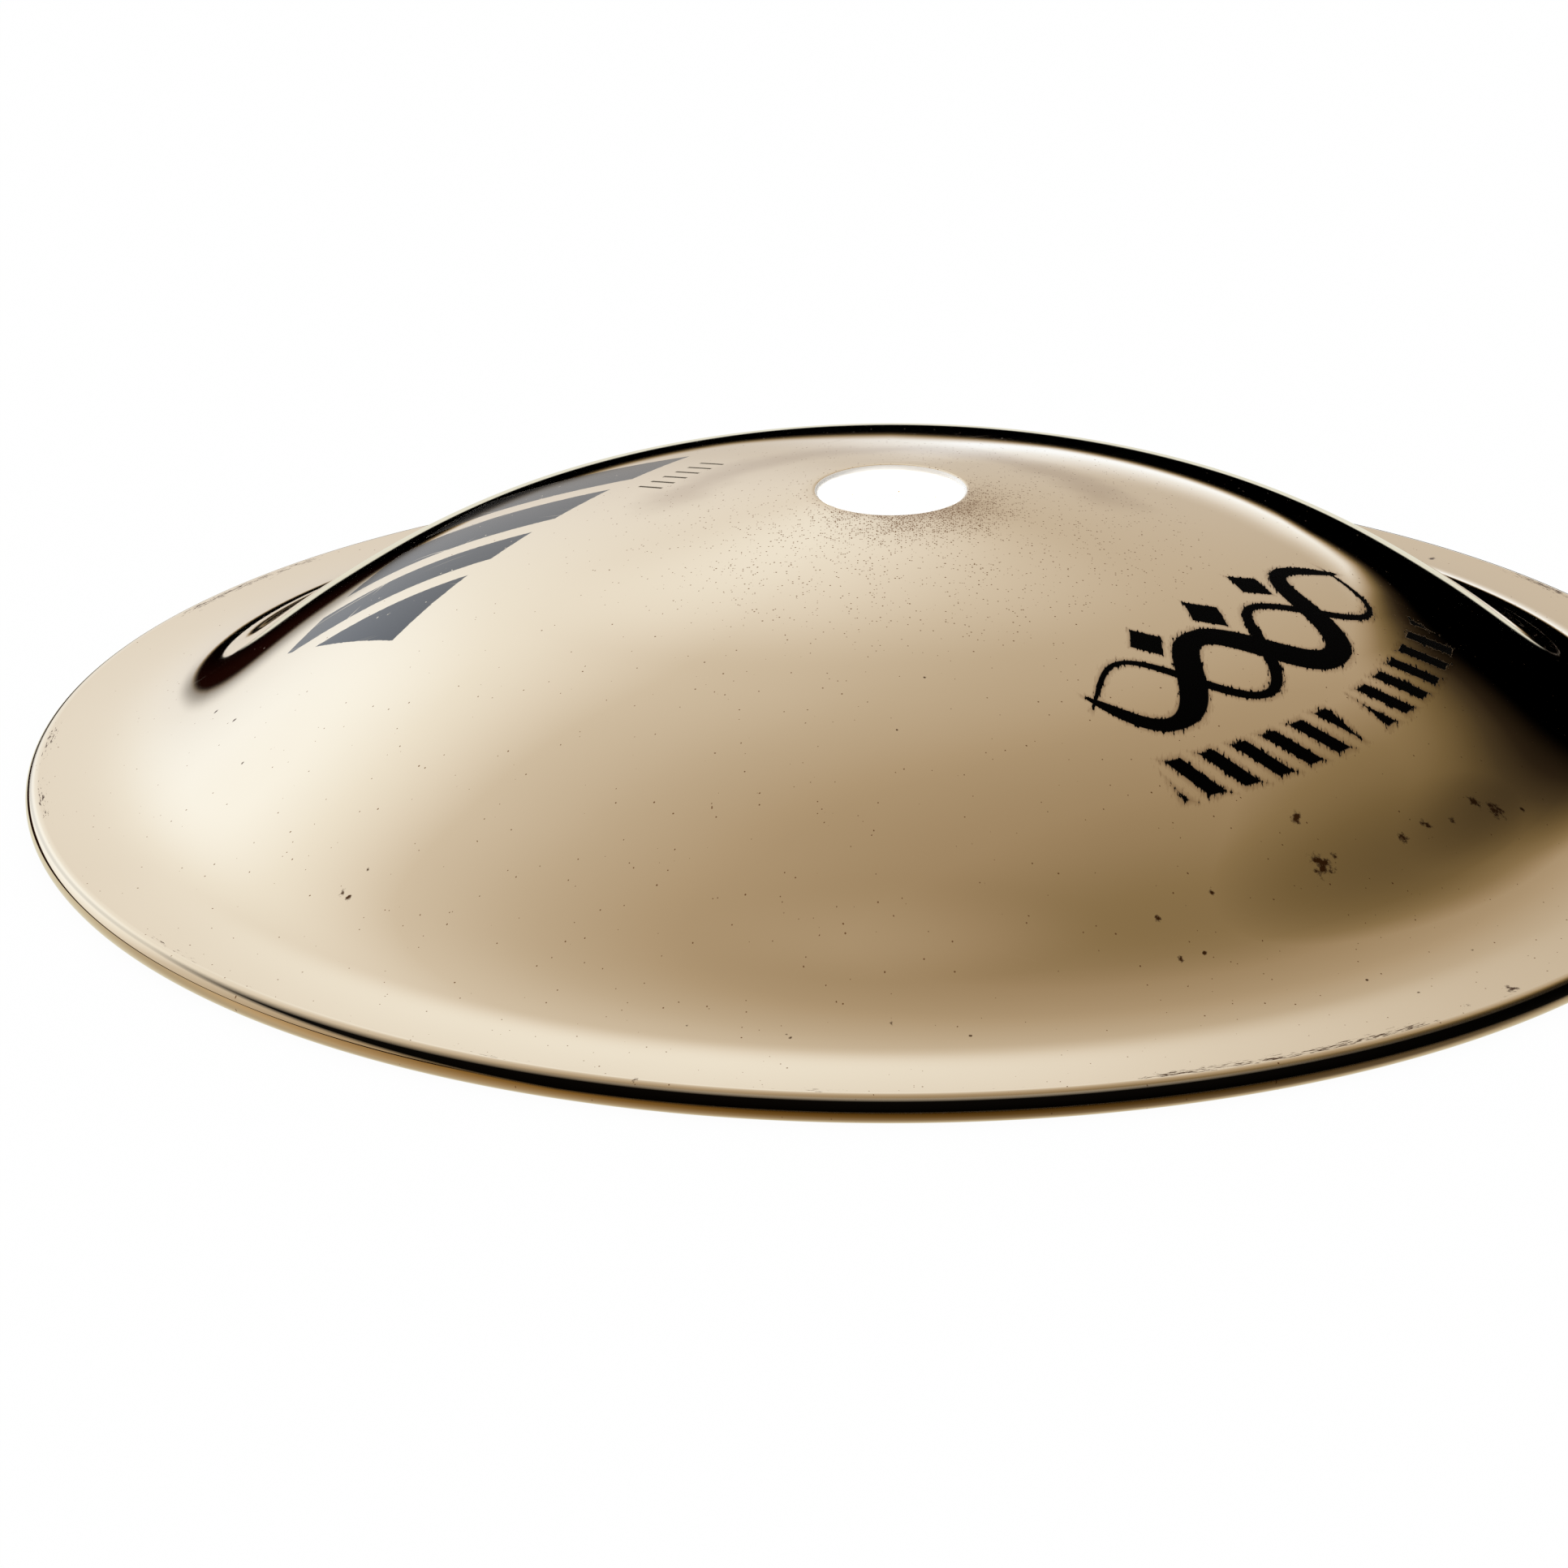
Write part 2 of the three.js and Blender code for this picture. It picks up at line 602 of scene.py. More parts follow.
        under = s.ease(s.less(z, horizon), self.horizon_blur, -self.horizon_blur)
        return s.mix(under, box, below)

    def lamps(self, s: Sheet, way: Socket, x: Socket, over: Socket, behind: Socket) -> Socket:
        """Adds up the soft box, its hot spot, the strip over its lower edge and the card on the near side.

        Args:
            s: The world's sheet.
            way: The direction looked in.
            x: Its part to the right.
            over: Its height over the box's lower edge.
            behind: 1 on the near side of the room and 0 on the far side.

        Returns:
            The brightness.
        """
        bright = s.ramp(s.dot(way, self.heading(self.box_azimuth, self.box_elevation)), self.brightness())
        spot = s.math("ARCCOSINE", s.dot(way, self.heading(self.spot_azimuth, self.spot_elevation)))
        spot = s.ease(spot, 0.0, math.radians(self.spot_width), self.spot_gain, 0.0)
        strip = s.times(
            s.ease(over, 0.0, self.strip_height, self.strip_gain, 0.0),
            s.ease(x, *self.strip_left),
            s.ease(x, *self.strip_right),
        )
        card = s.dot(way, self.heading(self.near_azimuth, self.near_elevation))
        card = s.times(s.ease(card, 0.2, 1.0, 0.0, self.near_gain), behind)
        far_right = s.spread(x, self.right_start, self.right_end, 1.0, self.right_share)
        return s.times(s.total(bright, spot, strip, card), s.most(far_right, behind))


@dataclass(frozen=True)
class PaleFloor:
    """A plain white floor that stays white under the cymbal."""

    reach: float = 6.0
    glow: float = 0.97

    def build(self) -> bpy.types.Object:
        """Makes the floor, which glossy rays do not see.

        Returns:
            The floor.
        """
        bpy.ops.object.select_all(action="DESELECT")
        bpy.ops.mesh.primitive_plane_add(size=self.reach, location=(0.0, 0.0, 0.0))
        floor = bpy.context.object
        floor.name = "studio_floor"
        floor.visible_glossy = False
        s = Finish("plain_white_floor")
        matt = s.put("BsdfDiffuse")
        s.feed(matt.inputs["Color"], (0.9, 0.9, 0.9, 1.0))
        lamp = s.put("Emission")
        blend = s.put("MixShader")
        s.feed(blend.inputs[0], s.times(s.put("LightPath").outputs["Is Camera Ray"], self.glow))
        s.feed(blend.inputs[1], matt.outputs[0])
        s.feed(blend.inputs[2], lamp.outputs[0])
        floor.data.materials.append(s.done(blend.outputs[0]))
        return floor


@dataclass(frozen=True)
class LightCard:
    """A glowing white card that is held close under the hole, so that the hole looks white."""

    radius: float = 12.0 * MM
    height: float = 23.4 * MM
    glow: float = 2.4

    def build(self) -> bpy.types.Object:
        """Makes the card.

        Returns:
            The card.
        """
        bpy.ops.object.select_all(action="DESELECT")
        place = (0.0, 0.0, self.height)
        bpy.ops.mesh.primitive_circle_add(radius=self.radius, fill_type="NGON", location=place)
        card = bpy.context.object
        card.name = "light_card"
        s = Finish("glowing_white_card")
        seen = s.put("LightPath").outputs["Is Camera Ray"]
        lamp = s.put("Emission")
        s.feed(lamp.inputs["Strength"], s.spread(seen, 0.0, 1.0, self.glow, 1.0))
        card.data.materials.append(s.done(lamp.outputs[0]))
        return card


@dataclass(frozen=True)
class ProductCamera:
    """The long lens that looks down on the cymbal from the front."""

    distance: float = 0.760
    elevation: float = 21.25
    aside: float = -9.46 * MM
    lens: float = 197.5
    sensor: float = 36.0
    roll: float = -0.324

    def build(self) -> bpy.types.Object:
        """Makes the camera and gives it to the scene.

        Returns:
            The camera.
        """
        rise = math.radians(self.elevation)
        place = Vector((0.0, -self.distance * math.cos(rise), self.distance * math.sin(rise)))
        data = bpy.data.cameras.new("product_camera")
        data.lens = self.lens
        data.sensor_width = self.sensor
        data.clip_start = 0.01
        data.dof.use_dof = False
        camera = bpy.data.objects.new("product_camera", data)
        bpy.context.scene.collection.objects.link(camera)
        camera.location = place
        aim = Vector((self.aside, 0.0, 0.0)) - place
        rolled = Quaternion((0.0, 0.0, 1.0), math.radians(self.roll))
        camera.rotation_euler = (aim.to_track_quat("-Z", "Y") @ rolled).to_euler()
        bpy.context.scene.camera = camera
        bpy.context.scene.view_settings.view_transform = "Standard"
        bpy.context.scene.view_settings.look = "None"
        return camera


@dataclass(frozen=True)
class Stretch:
    """One stretch of the top surface, from a smaller radius to a larger one."""

    start: float
    run: float
    start_tilt: float
    end_tilt: float
    steps: int

    @property
    def slope(self) -> float:
        """How fast the tilt changes on the whole, in radians to the metre."""
        return (self.end_tilt - self.start_tilt) / self.run

    def rate_before(self, outer: "Stretch | None") -> float:
        """Returns how fast the tilt changes where an outer stretch joins, the shorter one counting more."""
        if outer is None:
            return self.slope
        return (self.slope * outer.run + outer.slope * self.run) / (self.run + outer.run)

    def tilt(self, share: float, inner: "Stretch | None", outer: "Stretch | None") -> float:
        """Finds the tilt at a share of the way across.

        Args:
            share: The share, from 0 to 1.
            inner: The stretch before this one, if there is one.
            outer: The stretch after this one, if there is one.

        Returns:
            The tilt, in radians.
        """
        start_rate = self.slope if inner is None else inner.rate_before(self)
        left = 1.0 - share
        leaving = self.start_tilt * (1.0 + 2.0 * share) + start_rate * self.run * share
        arriving = self.end_tilt * (1.0 + 2.0 * left) - self.rate_before(outer) * self.run * left
        return leaving * left * left + arriving * share * share


@dataclass
class CymbalOutline:
    """The closed outline of the wall, from the axis outwards and upwards, in metres."""

    rim_radius: float
    bell_height: float
    wall: float = 2.7 * MM
    hole_radius: float = 6.35 * MM
    lip_rounding: float = 0.5 * MM
    crown_tilt: float = math.radians(8.4)
    shoulder_tilt: float = math.radians(17.7)
    flank_top_tilt: float = math.radians(33.3)
    flank_foot_tilt: float = math.radians(35.3)
    brim_tilt: float = math.radians(7.5)
    edge_tilt: float = math.radians(3.6)
    arris_tilt: float = math.radians(22.0)
    brim_width: float = 5.2 * MM
    flare_width: float = 9.2 * MM
    flank_width: float = 9.8 * MM
    shoulder_width: float = 15.4 * MM
    land_width: float = 1.4 * MM
    slices: int = 8
    edge_steps: int = 24
    lip_steps: int = 6
    under_thinning: int = 2

    @staticmethod
    def upright(tilt: float) -> Vector:
        """Returns the way out of the top surface at a tilt."""
        return Vector((math.sin(tilt), math.cos(tilt)))

    @staticmethod
    def arc(centre: Vector, radius: float, start: float, end: float, steps: int) -> list[Vector]:
        """Returns the places along an arc, from one angle to another."""
        angles = [start + (end - start) * step / steps for step in range(steps + 1)]
        return [centre + radius * Vector((math.cos(a), math.sin(a))) for a in angles]

    def edge(self) -> tuple[Vector, float]:
        """Returns the middle and the radius of the rounded rim."""
        radius = (self.wall - self.land_width * math.sin(self.edge_tilt)) / (1.0 + math.cos(self.arris_tilt))
        return Vector((self.rim_radius - radius, radius)), radius

    def stretches(self, arris: float) -> list[Stretch]:
        """Lays out the stretches of the top surface.

        Args:
            arris: The radius where the brim meets the rounded rim.

        Returns:
            The stretches, from the hole to the arris.
        """
        brim = arris - self.brim_width
        foot = brim - self.flare_width
        flank = foot - self.flank_width
        shoulder = flank - self.shoulder_width
        crown = self.hole_radius + self.lip_rounding * (1.0 + math.sin(self.crown_tilt))
        return [
            Stretch(crown, shoulder - crown, self.crown_tilt, self.shoulder_tilt, 28),
            Stretch(shoulder, self.shoulder_width, self.shoulder_tilt, self.flank_top_tilt, 30),
            Stretch(flank, self.flank_width, self.flank_top_tilt, self.flank_foot_tilt, 16),
            Stretch(foot, self.flare_width, self.flank_foot_tilt, self.brim_tilt, 36),
            Stretch(brim, self.brim_width, self.brim_tilt, self.edge_tilt, 14),
        ]

    def topside(self) -> list[tuple[Vector, float]]:
        """Returns the top surface from the arris to the hole, each place with its tilt."""
        middle, radius = self.edge()
        arris = middle + radius * self.upright(self.arris_tilt)
        chain = [None, *self.stretches(arris.x), None]
        height = arris.y
        row = [(arris, self.edge_tilt)]
        for inner, now, outer in reversed(list(zip(chain, chain[1:], chain[2:]))):
            slices = now.steps * self.slices
            for cut in reversed(range(slices)):
                height += math.tan(now.tilt((cut + 0.5) / slices, inner, outer)) * now.run / slices
                if cut % self.slices == 0:
                    share = cut / slices
                    place = Vector((now.start + now.run * share, height))
                    row.append((place, now.tilt(share, inner, outer)))
        crown = self.bell_height - self.lip_rounding * (1.0 - math.cos(self.crown_tilt))
        climb = (crown - arris.y) / (height - arris.y)
        return [(Vector((place.x, arris.y + (place.y - arris.y) * climb)), tilt) for place, tilt in row]

    def places(self) -> list[Vector]:
        """Returns the whole outline, anticlockwise from the lower lip of the hole."""
        middle, radius = self.edge()
        top = self.topside()
        upper = top[-1][0] - self.lip_rounding * self.upright(self.crown_tilt)
        drop = (self.wall - 2.0 * self.lip_rounding) / math.cos(self.crown_tilt)
        lower = Vector((upper.x, upper.y - drop))
        half = math.pi / 2.0
        row = self.arc(lower, self.lip_rounding, math.pi, 3.0 * half - self.crown_tilt, self.lip_steps)
        start = row[-1].x + self.lip_rounding
        brim = top[0][0].x - self.brim_width
        inside = [(p, tilt) for p, tilt in reversed(top) if p.x <= brim]
        under = [p - self.wall * self.upright(tilt) for p, tilt in inside[:: self.under_thinning]]
        row += [p for p in under if p.x > start]
        row.append(Vector((middle.x - self.land_width, 0.0)))
        row += self.arc(middle, radius, -half, half - self.arris_tilt, self.edge_steps)
        row += [p for p, _ in top][1:]
        return row + self.arc(upper, self.lip_rounding, half - self.crown_tilt, math.pi, self.lip_steps)[1:]


class Face(Finish):
    """The polished face's node tree, with the places and marks that its drawings share."""

    def __init__(self, name: str, effects: Effects) -> None:
        """Makes the material and reads the place on the cymbal.

        Args:
            name: The material's name.
            effects: The shared node groups.
        """
        super().__init__(name)
        self.effects = effects
        self.place = self.put("TexCoord").outputs["Object"]
        self.x, self.y, self.height = self.split(self.place)
        self.flat = self.joined(self.x, self.y, 0.0)
        self.radius = self.vector("LENGTH", self.flat)
        self.lines = self.group(effects.hair, Place=self.place, Amount=0.4).outputs["Lines"]

    def streak(self, around: float, outward: float) -> Socket:
        """Returns a place that runs round the axis, at a fineness around it and one outwards."""
        node = self.group(self.effects.polar, Place=self.place, Around=around, Outward=outward)
        return node.outputs["Streak"]


@dataclass(frozen=True)
class BlockPrint:
    """A row of plain slanted blocks printed in dark ink, as a border ornament."""

    start: tuple[float, float] = (-43.1 * MM, -11.5 * MM)
    row_angle: float = 51.0
    stroke_angle: float = 180.0
    cut_angle: float = 133.0
    stroke: float = 18.5 * MM
    blocks: tuple[tuple[float, float], ...] = (
        (0.0, 10.0 * MM),
        (13.0 * MM, 18.5 * MM),
        (21.5 * MM, 29.0 * MM),
        (32.0 * MM, 40.0 * MM),
    )

    def depth(self, s: Face) -> Socket:
        """Measures how far inside the blocks a place is.

        Args:
            s: The face's node tree.

        Returns:
            The depth, negative outside.
        """
        row, stroke = math.radians(self.row_angle), math.radians(self.stroke_angle)
        cut = math.radians(self.cut_angle)
        turn = math.sin(stroke - row)
        from_start = s.vector("SUBTRACT", s.place, (*self.start, 0.0))
        along = s.dot(from_start, (math.sin(stroke) / turn, -math.cos(stroke) / turn, 0.0))
        across = s.dot(from_start, (-math.sin(row) / turn, math.cos(row) / turn, 0.0))
        found = s.most(*(s.least(s.less(along, low), s.less(high, along)) for low, high in self.blocks))
        ends = s.least(across, s.less(self.stroke, across))
        past_cut = s.dot(from_start, (math.sin(cut), -math.cos(cut), 0.0))
        return s.least(s.times(s.least(found, ends), abs(turn)), past_cut)


@dataclass(frozen=True)
class RibbonPrint:
    """Two black ribbons that cross in waves round the bell, with lozenges over them and bars under them."""

    circle: float = 38.2 * MM
    bearing: float = -33.5
    reach: float = 20.5 * MM
    wave: float = 4.0 * MM
    wave_length: float = 20.0 * MM
    broad: float = 2.5 * MM
    narrow: float = 1.0 * MM
    swell: float = 0.28
    lozenges: tuple[tuple[float, float, float], ...] = (
        (-10.0 * MM, -5.6 * MM, 2.1 * MM),
        (0.0, -6.0 * MM, 2.3 * MM),
        (10.0 * MM, -5.6 * MM, 2.1 * MM),
    )
    bar_line: float = 9.2 * MM
    bar_height: float = 1.9 * MM
    bar_pitch: float = 2.9 * MM
    bar_share: float = 0.24
    bar_slant: float = -0.45
    bar_gap: float = 1.6 * MM
    bar_reach: float = 18.0 * MM

    def depth(self, s: Face) -> Socket:
        """Measures how far inside the ornament a place is.

        Args:
            s: The face's node tree.

        Returns:
            The depth, negative outside.
        """
        turn = math.radians(self.bearing)
        ahead = s.dot(s.place, (math.cos(turn), math.sin(turn), 0.0))
        aside = s.dot(s.place, (-math.sin(turn), math.cos(turn), 0.0))
        u = s.times(s.math("ARCTAN2", aside, ahead), self.circle)
        v = s.less(s.radius, self.circle)
        apart = s.size(u)
        phase = s.times(u, FULL_TURN / self.wave_length)
        line = s.times(s.math("SINE", phase), self.wave)
        swell = s.math("MULTIPLY_ADD", s.math("COSINE", s.times(phase, 2.0)), self.swell, 1.0 - self.swell)
        share = s.math("DIVIDE", u, self.reach)
        swell = s.times(swell, s.math("SQRT", s.math("SUBTRACT", 1.0, s.times(share, share), clamp=True)))
        first = s.less(s.times(swell, self.broad), s.size(s.less(v, line)))
        second = s.less(s.times(swell, self.narrow), s.size(s.total(v, line)))
        found = s.least(s.most(first, second), s.less(self.reach, apart))
        for at_u, at_v, half in self.lozenges:
            away = s.total(s.size(s.less(u, at_u)), s.size(s.less(v, at_v)))
            found = s.most(found, s.less(half, away))
        beat = s.math("PINGPONG", s.math("MULTIPLY_ADD", v, self.bar_slant, u), 0.5 * self.bar_pitch)
        bar = s.less(self.bar_share * self.bar_pitch, beat)
        low = s.less(self.bar_height, s.size(s.less(v, self.bar_line)))
        ends = s.least(s.less(self.bar_reach, apart), s.less(apart, self.bar_gap))
        return s.most(found, s.least(bar, low, ends))


@dataclass(frozen=True)
class Blemish:
    """One stain or pit, by its distance from the axis, its bearing and its size."""

    radius: float
    bearing: float
    size: float

    def centre(self) -> tuple[float, float]:
        """Returns the blemish's middle on the plan, in metres."""
        turn = math.radians(self.bearing)
        return self.radius * MM * math.cos(turn), self.radius * MM * math.sin(turn)


@dataclass(frozen=True)
class PolishedBronze:
    """Mirror-polished cast bronze with its print, hairlines, speckles and stains, and two painted
    reflections: a near-black line round the rim and a dull ring round the far half of the hole.
    """

    name: str = "polished_bronze"
    metal: Colour = (0.935, 0.805, 0.605, 1.0)
    warm_metal: Colour = (0.915, 0.785, 0.585, 1.0)
    tarnish: Colour = (0.10, 0.045, 0.016, 1.0)
    pepper: Colour = (0.23, 0.10, 0.027, 1.0)
    # painted reflection: the near-black colour of the line round the rim, standing in for the dark side of
    # the room
    painted_rim_reflection: Colour = (0.005, 0.004, 0.003, 1.0)
    slate_ink: Colour = (0.006, 0.006, 0.007, 1.0)
    black_ink: Colour = (0.0025, 0.0022, 0.002, 1.0)
    gloss: float = 0.035
    slate_gloss: float = 0.11
    # painted reflection: the roughness of the near-black line round the rim
    painted_rim_reflection_gloss: float = 0.5
    # painted reflection: how strongly the dull ring round the far half of the hole is painted
    ring_reflection_share: float = 0.30
    ring_half_width: float = 19.5 * MM
    ring_half_depth: float = 14.5 * MM
    line_top: tuple[float, float] = (2.5 * MM, 2.2 * MM)
    line_foot: tuple[float, float] = (1.2 * MM, 1.42 * MM)
    line_narrowing: tuple[float, float] = (-62.0 * MM, -27.0 * MM)
    line_lift: float = 1.05 * MM
    line_start: tuple[float, float] = (75.36 * MM, 75.45 * MM)
    streak_start: tuple[float, float] = (73.0 * MM, 74.7 * MM)
    streak_end: tuple[float, float] = (75.2 * MM, 75.05 * MM)
    speck_side: tuple[float, float, float] = (0.48, -0.88, 0.0)
    speck_kinds: tuple[tuple[float, float, float], ...] = ((5600.0, 0.16, 0.34), (3300.0, 0.06, 0.16))
    blemishes: tuple[Blemish, ...] = tuple(
        Blemish(*row)
        for row in (
            (32.8, -85.1, 0.16), (39.4, -89.3, 0.12), (61.7, -138.1, 0.42), (61.8, -137.2, 0.4),
            (59.3, -177.2, 0.25), (57.8, -172.0, 0.25), (58.5, -163.0, 0.2), (59.4, -137.5, 0.2),
            (65.0, -90.0, 0.28), (66.9, -97.0, 0.2), (66.5, -97.4, 0.18), (66.3, -104.5, 0.16),
            (66.5, -84.5, 0.18), (75.2, -105.9, 0.4), (52.8, -50.3, 0.75), (56.9, -51.0, 1.15),
            (56.4, -49.3, 0.4), (56.8, -62.3, 0.3), (58.0, -67.8, 0.3), (61.3, -67.2, 0.32),
            (61.1, -65.1, 0.26), (57.1, -41.2, 0.6), (56.9, -37.7, 0.6), (57.6, -34.6, 0.45),
            (57.3, -30.3, 0.7), (58.6, -28.9, 1.0), (59.7, -25.8, 0.3), (70.3, -51.9, 0.22),
            (66.9, -54.2, 0.16), (67.5, -44.5, 0.22), (74.0, -46.4, 0.7), (74.0, -50.4, 0.4),
            (71.6, 45.0, 0.5), (48.4, -74.5, 0.12),
        )
    )

    def build(self, effects: Effects) -> Material:
        """Makes the finish.

        Args:
            effects: The shared node groups.

        Returns:
            The material.
        """
        s = Face(self.name, effects)
        slate, black, halo = self.print_masks(s)
        stain = s.most(self.stain_mask(s), self.rim_mask(s))
        speck, crowd = self.speck_masks(s)
        # edge is a painted reflection: the near-black line round the rim, standing in for the dark side of
        # the room
        edge = self.painted_rim_reflection_mask(s)
        dirt = s.most(stain, speck)
        haze = s.noise(s.place, 45.0, 3.0)
        colour = s.mix(s.spread(haze, 0.35, 0.75), self.metal, self.warm_metal)
        rough = s.math("MULTIPLY_ADD", haze, 0.03, self.gloss - 0.018)
        rough = s.math("MULTIPLY_ADD", s.lines, 0.05, rough)
        rough = s.math("MULTIPLY_ADD", dirt, 0.3, rough)
        for share, layer in (
            (s.most(s.times(crowd, 0.5), s.times(halo, 0.45)), self.pepper),
            (s.times(speck, 0.9), self.pepper),
            # painted reflection: the dull ring round the far half of the hole
            (s.times(self.painted_reflection_ring(s), self.ring_reflection_share), self.pepper),
            (stain, self.tarnish),
            # painted reflection: the near-black line round the rim
            (edge, self.painted_rim_reflection),
            (slate, self.slate_ink),
            (black, self.black_ink),
        ):
            colour = s.mix(share, colour, layer)
        # edge here is the painted reflection round the rim
        for share, gloss in ((slate, self.slate_gloss), (black, 1.0), (edge, self.painted_rim_reflection_gloss)):
            rough = s.mix(share, rough, (gloss, gloss, gloss, 1.0))
        shader = s.put("BsdfPrincipled")
        s.feed(shader.inputs["Base Color"], colour)
        s.feed(shader.inputs["Roughness"], rough)
        s.feed(shader.inputs["Metallic"], s.less(1.0, slate))
        s.feed(shader.inputs["Normal"], self.relief(s, dirt))
        return s.done(shader.outputs[0])

    def relief(self, s: Face, dirt: Socket) -> Socket:
        """Draws the faint relief of the polished face.

        Args:
            s: The face's node tree.
            dirt: The stains and specks.

        Returns:
            The bumped normal.
        """
        rings = s.group(s.effects.lathe, Place=s.place, Rings=2600.0).outputs["Height"]
        chatter = s.noise(s.streak(3.2, 900.0), 1.0, 3.0, 0.6)
        near_hole = s.ease(s.radius, 10.5 * MM, 6.9 * MM)
        relief = s.less(s.less(s.times(rings, 0.02), s.times(s.lines, 0.10)), s.times(dirt, 0.5))
        relief = s.total(relief, s.times(chatter, near_hole, 14.0))
        return s.bump(relief, 0.001 * MM)

    def print_masks(self, s: Face) -> tuple[Socket, Socket, Socket]:
        """Draws the printed ornaments.

        Args:
            s: The face's node tree.

        Returns:
            1 on the slate ink, 1 on the black ink, and 1 close beside the black ink.
        """
        blocks = BlockPrint().depth(s)
        ragged = s.less(s.noise(s.place, 2500.0, 3.0), 0.5)
        slate = s.spread(s.math("MULTIPLY_ADD", ragged, 0.2 * MM, blocks), -0.03 * MM, 0.03 * MM)
        worn = s.spread(s.noise(s.place, 90.0, 2.0, 0.6), 0.45, 0.7)
        chips = s.math("MULTIPLY_ADD", worn, 0.07, s.noise(s.place, 1500.0, 2.0, 0.7))
        scraped = s.times(s.lines, s.spread(blocks, 1.6 * MM, 0.2 * MM))
        slate = s.times(slate, s.less(1.0, s.most(s.spread(chips, 0.735, 0.76), scraped)))
        hairs = s.noise(s.vector("MULTIPLY", s.place, (5200.0, 900.0, 900.0)), 1.0, 2.0, 0.55)
        hairs = s.most(s.less(hairs, 0.5), 0.0)
        grown = s.math("MULTIPLY_ADD", hairs, 2.0 * MM, RibbonPrint().depth(s))
        ticks = BlockPrint(
            start=(-22.4 * MM, 9.9 * MM),
            row_angle=45.0,
            stroke_angle=-45.0,
            cut_angle=45.0,
            stroke=3.0 * MM,
            blocks=tuple((at * MM, (at + 0.35) * MM) for at in (0.0, 1.5, 3.0, 4.5, 6.0, 7.5)),
        ).depth(s)
        ticks = s.spread(ticks, -0.02 * MM, 0.06 * MM, 0.0, 0.8)
        black = s.most(s.spread(grown, -0.03 * MM, 0.08 * MM), ticks)
        return slate, black, s.spread(grown, -0.5 * MM, 0.05 * MM)

    def stain_mask(self, s: Face) -> Socket:
        """Draws the placed stains and pits.

        Args:
            s: The face's node tree.

        Returns:
            1 on a stain and 0 elsewhere.
        """
        shares = []
        for spot in self.blemishes:
            away = s.vector("DISTANCE", s.flat, (*spot.centre(), 0.0))
            shares.append(s.less(1.0, s.math("DIVIDE", away, spot.size * MM)))
        nearest = s.most(*shares)
        ragged = s.less(s.noise(s.place, 1500.0, 3.0, 0.7), 0.5)
        ragged = s.times(ragged, s.spread(nearest, -0.9, 0.1, 0.0, 3.4))
        return s.spread(s.total(ragged, nearest), 0.15, 0.75)

    def painted_reflection_ring(self, s: Face) -> Socket:
        """Draws a painted reflection: a dull brown ring round the far half of the hole, standing in for a
        dim band of the studio mirrored there.

        Args:
            s: The face's node tree.

        Returns:
            1 in the middle of the ring and 0 away from it.
        """
        shares = (1.0 / self.ring_half_width, 1.0 / self.ring_half_depth, 0.0)
        away = s.vector("LENGTH", s.vector("MULTIPLY", s.place, shares))
        soft = s.math("MULTIPLY_ADD", s.noise(s.place, 220.0, 2.0), 0.24, away)
        ring = s.times(s.ease(soft, 0.86, 1.10), s.ease(soft, 1.36, 1.12))
        return s.times(ring, s.ease(s.y, -1.0 * MM, 5.0 * MM))

    def painted_rim_reflection_mask(self, s: Face) -> Socket:
        """Draws a painted reflection: a near-black line round the rounded edge, standing in for the dark
        side of the room mirrored there, which narrows to nothing on the left.

        Args:
            s: The face's node tree.

        Returns:
            1 on the line and 0 elsewhere.
        """
        foot = s.less(s.height, s.spread(s.x, *self.line_narrowing, self.line_lift, 0.0))
        band = s.times(s.spread(s.height, *self.line_top), s.spread(foot, *self.line_foot))
        return s.times(band, s.spread(s.radius, *self.line_start))

    def rim_mask(self, s: Face) -> Socket:
        """Draws the short dark streaks just inside the rim.

        Args:
            s: The face's node tree.

        Returns:
            1 on a streak and 0 elsewhere.
        """
        grain = s.noise(s.streak(70.0, 9000.0), 1.0, 3.0, 0.6)
        patch = s.spread(s.noise(s.place, 38.0, 1.0), 0.44, 0.6)
        near_rim = s.spread(s.radius, *self.streak_start)
        near_rim = s.times(near_rim, s.spread(s.radius, *self.streak_end))
        level = s.times(near_rim, near_rim, patch)
        streaks = s.spread(s.math("MULTIPLY_ADD", level, 0.27, grain), 0.76, 0.82)
        return s.times(streaks, s.spread(level, 0.0, 0.1))

    def speck_masks(self, s: Face) -> tuple[Socket, Socket]:
        """Draws the fine brown specks, which crowd beside the hole.

        Args:
            s: The face's node tree.

        Returns:
            1 on a speck and 0 elsewhere, and how closely they crowd.
        """
        toward = s.dot(s.vector("NORMALIZE", s.flat), self.speck_side)
        side = s.ease(toward, -0.1, 0.95, 0.08, 1.0)
        patchy = s.spread(s.noise(s.place, 300.0, 3.0, 0.6), 0.3, 0.7, 0.25, 1.0)
        crowd = s.times(s.spread(s.radius, 14.0 * MM, 6.6 * MM), side)
        crowd = s.times(crowd, crowd, patchy)
        wide = s.spread(s.radius, 30.0 * MM, 8.0 * MM, 0.005, 0.15)
        wide = s.times(wide, s.spread(toward, -0.9, 0.6, 0.2, 1.0), patchy)
        likely = s.math("MULTIPLY_ADD", crowd, 2.0, wide)
        marks = []
        for fineness, low, high in self.speck_kinds:
            cells = s.put("TexVoronoi", feature="F1", voronoi_dimensions="2D")
            s.feed(cells.inputs["Vector"], s.flat)
            s.feed(cells.inputs["Scale"], fineness)
            chance, weight, _ = s.split(cells.outputs["Color"])
            radius = s.math("MULTIPLY_ADD", weight, high, low)
            dot = s.spread(s.less(radius, cells.outputs["Distance"]), -0.05, 0.1)
            marks.append(s.times(s.math("LESS_THAN", chance, likely), dot))
        return s.most(*marks), crowd


